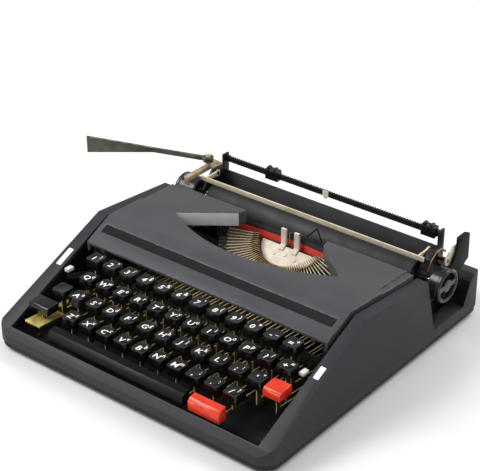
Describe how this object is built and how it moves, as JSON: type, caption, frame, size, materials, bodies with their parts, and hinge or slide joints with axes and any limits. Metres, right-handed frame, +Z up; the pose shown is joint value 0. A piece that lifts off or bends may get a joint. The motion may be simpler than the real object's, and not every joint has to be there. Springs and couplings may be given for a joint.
{
  "type": "manual typewriter",
  "caption": "Portable manual typewriter: moulded shell, hinged top cover with type opening, stepped keyboard, fanned typebars and a sliding platen carriage with return lever.",
  "frame": {"origin": "centre of the footprint on the table, between the four feet", "axes": "+X to the typist's right, +Y to the back, +Z up"},
  "size_m": [0.3724, 0.302, 0.0975],
  "materials": {
    "shell_paint": "satin textured",
    "cover_paint": "satin textured",
    "tray_steel": "satin",
    "foot_rubber": "matte",
    "platen_rubber": "matte",
    "roller_rubber": "matte",
    "bright_steel": "bright",
    "frame_steel": "satin",
    "dark_steel": "satin",
    "type_steel": "polished",
    "segment_iron": "machined",
    "lever_brass": "passivated",
    "key_plastic": "gloss",
    "red_plastic": "gloss",
    "knob_plastic": "satin",
    "black_plastic": "satin",
    "ribbon_cloth": "woven"
  },
  "bodies": {
    "base": {"body_shell": "shell_paint", "base_tray": "tray_steel", "rubber_feet": "foot_rubber", "base_screws": "bright_steel", "frame_plates": "frame_steel", "cross_beam": "segment_iron", "lever_comb": "frame_steel", "fulcrum_rod": "bright_steel", "typebar_segment": "segment_iron", "segment_face": "type_steel", "type_guide": "type_steel", "typebar_rest": "foot_rubber", "typebars": "type_steel", "ribbon": "ribbon_cloth", "spool_cups": "dark_steel", "ribbon_guides": "frame_steel", "carriage_rails": "frame_steel", "escapement_bracket": "frame_steel", "bell": "bright_steel", "cover_hinge_rod": "bright_steel"},
    "cover": {"top_cover": "cover_paint"},
    "carriage": {"carriage_bed": "frame_steel", "carriage_ends": "dark_steel", "paper_pan": "dark_steel", "margin_rail": "dark_steel", "lever_bracket": "type_steel"},
    "platen": {"platen": "platen_rubber", "platen_shaft": "bright_steel", "platen_knobs": "knob_plastic", "line_ratchet": "lever_brass"},
    "feed_front": {"feed_roller_front": "roller_rubber"},
    "feed_rear": {"feed_roller_rear": "roller_rubber"},
    "bail": {"paper_bail": "type_steel"},
    "return_lever": {"return_lever": "dark_steel"},
    "stop_left": {"margin_stop_left": "black_plastic"},
    "stop_right": {"margin_stop_right": "black_plastic"},
    "paper_release": {"paper_release": "type_steel"},
    "carriage_release": {"carriage_release": "black_plastic"},
    "row_1": {"keytops_row_1": "key_plastic", "levers_row_1": "lever_brass"},
    "row_2": {"keytops_row_2": "key_plastic", "levers_row_2": "lever_brass"},
    "row_3": {"keytops_row_3": "key_plastic", "levers_row_3": "lever_brass"},
    "row_4": {"keytops_row_4": "key_plastic", "levers_row_4": "lever_brass"},
    "type_key": {"type_key": "key_plastic"},
    "typebar": {"typebar_struck": "type_steel"},
    "vibrator": {"ribbon_vibrator": "type_steel"},
    "space_bar": {"space_bar": "key_plastic"},
    "shift": {"shift_key": "key_plastic"},
    "shift_lock": {"shift_lock": "key_plastic"},
    "red_right": {"red_key_right": "red_plastic"},
    "red_front": {"red_key_front": "red_plastic"},
    "selector_left": {"selector_left": "frame_steel"},
    "selector_right": {"selector_right": "frame_steel"},
    "spool_left": {"spool_left": "black_plastic"},
    "spool_right": {"spool_right": "black_plastic"},
    "escape_wheel": {"escapement_wheel": "lever_brass"},
    "drum": {"mainspring_drum": "frame_steel"}
  },
  "joints": [
    {"name": "cover_hinge", "type": "hinge", "parent": "base", "child": "cover", "pos_m": [0, -0.0475, 0.0595], "axis": [1, 0, 0], "range_deg": [0, 75]},
    {"name": "carriage_slide", "type": "slide", "parent": "base", "child": "carriage", "axis": [1, 0, 0], "range_m": [-0.113, 0.097]},
    {"name": "platen_turn", "type": "hinge", "parent": "carriage", "child": "platen", "pos_m": [0.008, 0.0885, 0.0543], "axis": [1, 0, 0], "continuous": true},
    {"name": "feed_front_turn", "type": "hinge", "parent": "carriage", "child": "feed_front", "pos_m": [0.008, 0.08156, 0.03522], "axis": [1, 0, 0], "continuous": true},
    {"name": "feed_rear_turn", "type": "hinge", "parent": "carriage", "child": "feed_rear", "pos_m": [0.008, 0.09544, 0.03522], "axis": [1, 0, 0], "continuous": true},
    {"name": "bail_lift", "type": "hinge", "parent": "carriage", "child": "bail", "pos_m": [0.008, 0.096, 0.0765], "axis": [-1, 0, 0], "range_deg": [0, 28]},
    {"name": "return_lever_swing", "type": "hinge", "parent": "carriage", "child": "return_lever", "pos_m": [-0.1151, 0.094, 0.089], "axis": [0, 0, 1], "range_deg": [0, 35], "stiffness_Nm_per_rad": 0.05, "springref_deg": -5.73},
    {"name": "stop_left_slide", "type": "slide", "parent": "carriage", "child": "stop_left", "axis": [1, 0, 0], "range_m": [-0.045, 0.048]},
    {"name": "stop_right_slide", "type": "slide", "parent": "carriage", "child": "stop_right", "axis": [1, 0, 0], "range_m": [-0.09, 0.003]},
    {"name": "paper_release_tilt", "type": "hinge", "parent": "carriage", "child": "paper_release", "pos_m": [0.13475, 0.106, 0.066], "axis": [1, 0, 0], "range_deg": [0, 20]},
    {"name": "carriage_release_tilt", "type": "hinge", "parent": "carriage", "child": "carriage_release", "pos_m": [0.13775, 0.108, 0.058], "axis": [1, 0, 0], "range_deg": [0, 12]},
    {"name": "row_1_press", "type": "hinge", "parent": "base", "child": "row_1", "pos_m": [0, 0.062, 0.011], "axis": [1, 0, 0], "range_deg": [0, 5.33], "stiffness_Nm_per_rad": 0.5, "springref_deg": -20.05},
    {"name": "row_2_press", "type": "hinge", "parent": "base", "child": "row_2", "pos_m": [0, 0.062, 0.011], "axis": [1, 0, 0], "range_deg": [0, 4.68], "stiffness_Nm_per_rad": 0.5, "springref_deg": -20.05},
    {"name": "row_3_press", "type": "hinge", "parent": "base", "child": "row_3", "pos_m": [0, 0.062, 0.011], "axis": [1, 0, 0], "range_deg": [0, 4.18], "stiffness_Nm_per_rad": 0.5, "springref_deg": -20.05},
    {"name": "row_4_press", "type": "hinge", "parent": "base", "child": "row_4", "pos_m": [0, 0.062, 0.011], "axis": [1, 0, 0], "range_deg": [0, 3.77], "stiffness_Nm_per_rad": 0.5, "springref_deg": -20.05},
    {"name": "type_key_press", "type": "hinge", "parent": "base", "child": "type_key", "pos_m": [0, 0.062, 0.011], "axis": [1, 0, 0], "range_deg": [0, 4.18], "stiffness_Nm_per_rad": 0.1, "springref_deg": -20.05},
    {"name": "typebar_swing", "type": "hinge", "parent": "base", "child": "typebar", "pos_m": [0, 0.04122, 0.0374], "axis": [-1, 0, 0], "range_deg": [0, 167]},
    {"name": "vibrator_lift", "type": "slide", "parent": "base", "child": "vibrator", "axis": [0, 0, 1], "range_m": [0, 0.007]},
    {"name": "space_press", "type": "hinge", "parent": "base", "child": "space_bar", "pos_m": [0, 0.062, 0.011], "axis": [1, 0, 0], "range_deg": [0, 2.5], "stiffness_Nm_per_rad": 0.2, "springref_deg": -20.05},
    {"name": "shift_press", "type": "hinge", "parent": "base", "child": "shift", "pos_m": [0, 0.062, 0.011], "axis": [1, 0, 0], "range_deg": [0, 3.3], "stiffness_Nm_per_rad": 0.1, "springref_deg": -20.05},
    {"name": "shift_lock_press", "type": "hinge", "parent": "base", "child": "shift_lock", "pos_m": [0, 0.062, 0.011], "axis": [1, 0, 0], "range_deg": [0, 3.3], "stiffness_Nm_per_rad": 0.05, "springref_deg": -20.05},
    {"name": "red_right_press", "type": "hinge", "parent": "base", "child": "red_right", "pos_m": [0, 0.062, 0.011], "axis": [1, 0, 0], "range_deg": [0, 3.6], "stiffness_Nm_per_rad": 0.05, "springref_deg": -20.05},
    {"name": "red_front_press", "type": "hinge", "parent": "base", "child": "red_front", "pos_m": [0, 0.062, 0.011], "axis": [1, 0, 0], "range_deg": [0, 2.5], "stiffness_Nm_per_rad": 0.08, "springref_deg": -20.05},
    {"name": "selector_left_tilt", "type": "hinge", "parent": "base", "child": "selector_left", "pos_m": [-0.1248, -0.042, 0.03], "axis": [1, 0, 0], "range_deg": [-8, 8]},
    {"name": "selector_right_tilt", "type": "hinge", "parent": "base", "child": "selector_right", "pos_m": [0.1248, -0.042, 0.03], "axis": [1, 0, 0], "range_deg": [-8, 8]},
    {"name": "spool_left_turn", "type": "hinge", "parent": "base", "child": "spool_left", "pos_m": [-0.095, 0.012, 0.05], "axis": [0, 0, 1], "continuous": true},
    {"name": "spool_right_turn", "type": "hinge", "parent": "base", "child": "spool_right", "pos_m": [0.095, 0.012, 0.05], "axis": [0, 0, 1], "continuous": true},
    {"name": "escape_turn", "type": "hinge", "parent": "base", "child": "escape_wheel", "pos_m": [0.012, 0.102, 0.016], "axis": [0, 1, 0], "continuous": true},
    {"name": "drum_turn", "type": "hinge", "parent": "base", "child": "drum", "pos_m": [-0.09, 0.097, 0.011], "axis": [0, 0, 1], "continuous": true}
  ],
  "couplings": [
    {"joint": "feed_front_turn", "follows": "platen_turn", "ratio": -4},
    {"joint": "feed_rear_turn", "follows": "platen_turn", "ratio": -4},
    {"joint": "typebar_swing", "follows": "type_key_press", "ratio": 39.833},
    {"joint": "vibrator_lift", "follows": "type_key_press", "m_per_rad": 0.09526},
    {"joint": "spool_right_turn", "follows": "spool_left_turn", "ratio": 1},
    {"joint": "escape_turn", "follows": "carriage_slide", "rad_per_m": 142.8},
    {"joint": "drum_turn", "follows": "carriage_slide", "rad_per_m": -50}
  ]
}
